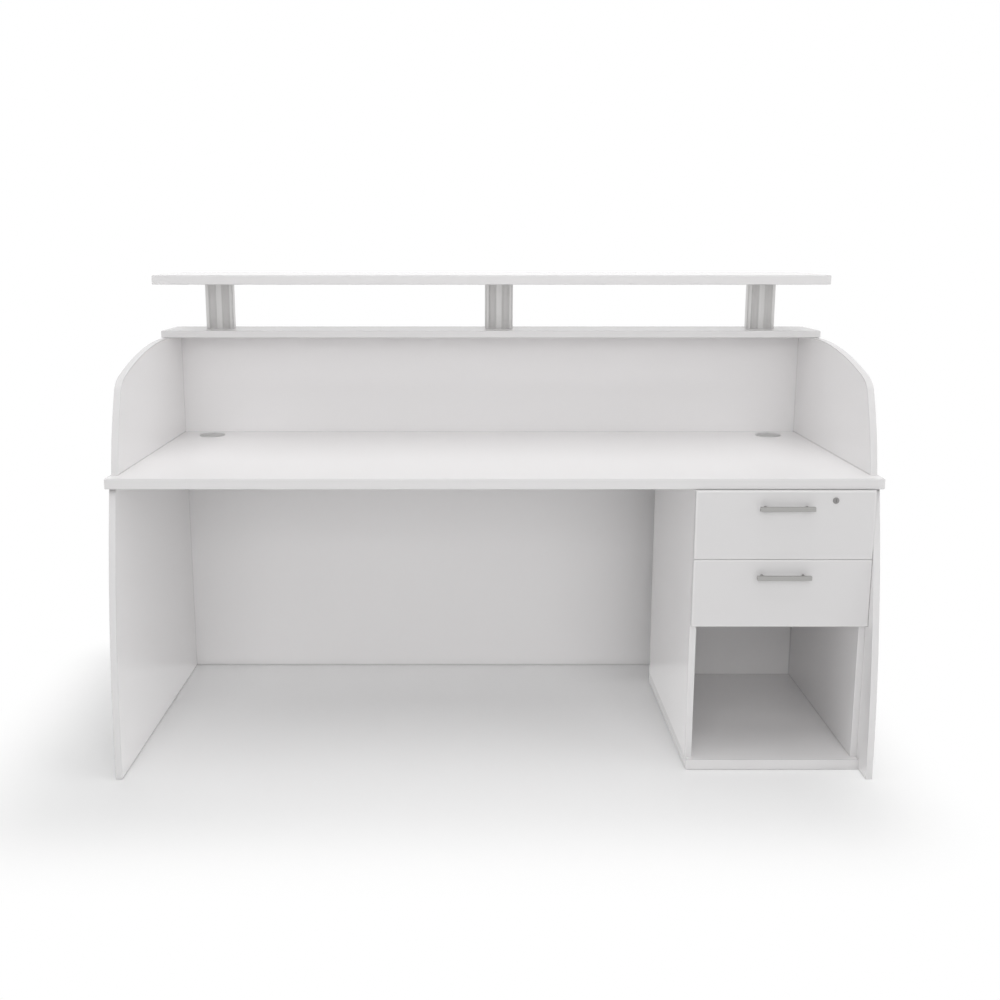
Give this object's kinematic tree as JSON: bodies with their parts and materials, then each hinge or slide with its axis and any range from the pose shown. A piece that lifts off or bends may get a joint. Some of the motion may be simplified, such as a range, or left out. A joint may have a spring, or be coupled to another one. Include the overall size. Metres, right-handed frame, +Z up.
{
  "type": "reception desk",
  "caption": "White reception desk with a raised counter on fluted posts, swept end panels, cable ports and a fixed pedestal with locking drawers over an open file compartment.",
  "frame": {"origin": "on the floor under the middle of the desk's bounding box", "axes": "+X along the desk to the right as the staff see it, +Y towards the visitors, +Z up"},
  "size_m": [1.8, 0.949, 1.162],
  "materials": {
    "white_melamine": "white melamine-faced board with matching edging, satin",
    "anodised_post": "satin anodised",
    "handle_aluminium": "brushed",
    "zinc_steel": "bright zinc plate",
    "lock_chrome": "black nickel plate, satin",
    "grey_plastic": "grey moulded, matt",
    "glide_plastic": "dark grey, matt"
  },
  "bodies": {
    "desk": {"worktop": "white_melamine", "capping": "white_melamine", "counter_top": "white_melamine", "front_panel": "white_melamine", "left_end_panel": "white_melamine", "right_end_panel": "white_melamine", "left_hob_end": "white_melamine", "right_hob_end": "white_melamine", "pedestal_left_side": "white_melamine", "pedestal_right_side": "white_melamine", "pedestal_base": "white_melamine", "pedestal_back": "white_melamine", "pedestal_shelf": "white_melamine", "pedestal_top": "white_melamine", "upper_drawer_left_runner_outer": "zinc_steel", "upper_drawer_right_runner_outer": "zinc_steel", "lower_drawer_left_runner_outer": "zinc_steel", "lower_drawer_right_runner_outer": "zinc_steel", "left_post": "anodised_post", "left_post_left_bolt": "zinc_steel", "left_post_right_bolt": "zinc_steel", "middle_post": "anodised_post", "middle_post_left_bolt": "zinc_steel", "middle_post_right_bolt": "zinc_steel", "right_post": "anodised_post", "right_post_left_bolt": "zinc_steel", "right_post_right_bolt": "zinc_steel", "left_port_sleeve": "grey_plastic", "left_end_glide": "glide_plastic", "pedestal_left_glide": "glide_plastic", "right_port_sleeve": "grey_plastic", "right_end_glide": "glide_plastic", "pedestal_right_glide": "glide_plastic", "worktop_end_rail": "zinc_steel", "worktop_front_rail": "zinc_steel"},
    "upper_drawer": {"upper_drawer_front": "white_melamine", "upper_drawer_left_side": "white_melamine", "upper_drawer_right_side": "white_melamine", "upper_drawer_back": "white_melamine", "upper_drawer_bottom": "white_melamine", "upper_drawer_handle": "handle_aluminium", "upper_drawer_left_runner_inner": "zinc_steel", "upper_drawer_right_runner_inner": "zinc_steel", "lock_housing": "lock_chrome"},
    "upper_runner_middles": {"upper_drawer_left_runner_middle": "zinc_steel", "upper_drawer_right_runner_middle": "zinc_steel"},
    "lower_drawer": {"lower_drawer_front": "white_melamine", "lower_drawer_left_side": "white_melamine", "lower_drawer_right_side": "white_melamine", "lower_drawer_back": "white_melamine", "lower_drawer_bottom": "white_melamine", "lower_drawer_handle": "handle_aluminium", "lower_drawer_left_runner_inner": "zinc_steel", "lower_drawer_right_runner_inner": "zinc_steel"},
    "lower_runner_middles": {"lower_drawer_left_runner_middle": "zinc_steel", "lower_drawer_right_runner_middle": "zinc_steel"},
    "lock_cylinder": {"lock_plug": "lock_chrome", "lock_cam": "zinc_steel"},
    "left_cap": {"left_port_cap": "grey_plastic"},
    "right_cap": {"right_port_cap": "grey_plastic"}
  },
  "joints": [
    {"name": "upper_drawer_slide", "type": "slide", "parent": "desk", "child": "upper_drawer", "axis": [0, -1, 0], "range_m": [0, 0.45]},
    {"name": "upper_middles_slide", "type": "slide", "parent": "desk", "child": "upper_runner_middles", "axis": [0, -1, 0], "range_m": [0, 0.225]},
    {"name": "lower_drawer_slide", "type": "slide", "parent": "desk", "child": "lower_drawer", "axis": [0, -1, 0], "range_m": [0, 0.45]},
    {"name": "lower_middles_slide", "type": "slide", "parent": "desk", "child": "lower_runner_middles", "axis": [0, -1, 0], "range_m": [0, 0.225]},
    {"name": "lock_turn", "type": "hinge", "parent": "upper_drawer", "child": "lock_cylinder", "pos_m": [0.785, -0.4065, 0.6638], "axis": [0, 1, 0], "range_deg": [0, 90]},
    {"name": "left_cap_lift", "type": "slide", "parent": "desk", "child": "left_cap", "axis": [0, 0, 1], "range_m": [0, 0.04]},
    {"name": "right_cap_lift", "type": "slide", "parent": "desk", "child": "right_cap", "axis": [0, 0, 1], "range_m": [0, 0.04]}
  ],
  "couplings": [
    {"joint": "upper_middles_slide", "follows": "upper_drawer_slide", "ratio": 0.5},
    {"joint": "lower_middles_slide", "follows": "lower_drawer_slide", "ratio": 0.5}
  ]
}
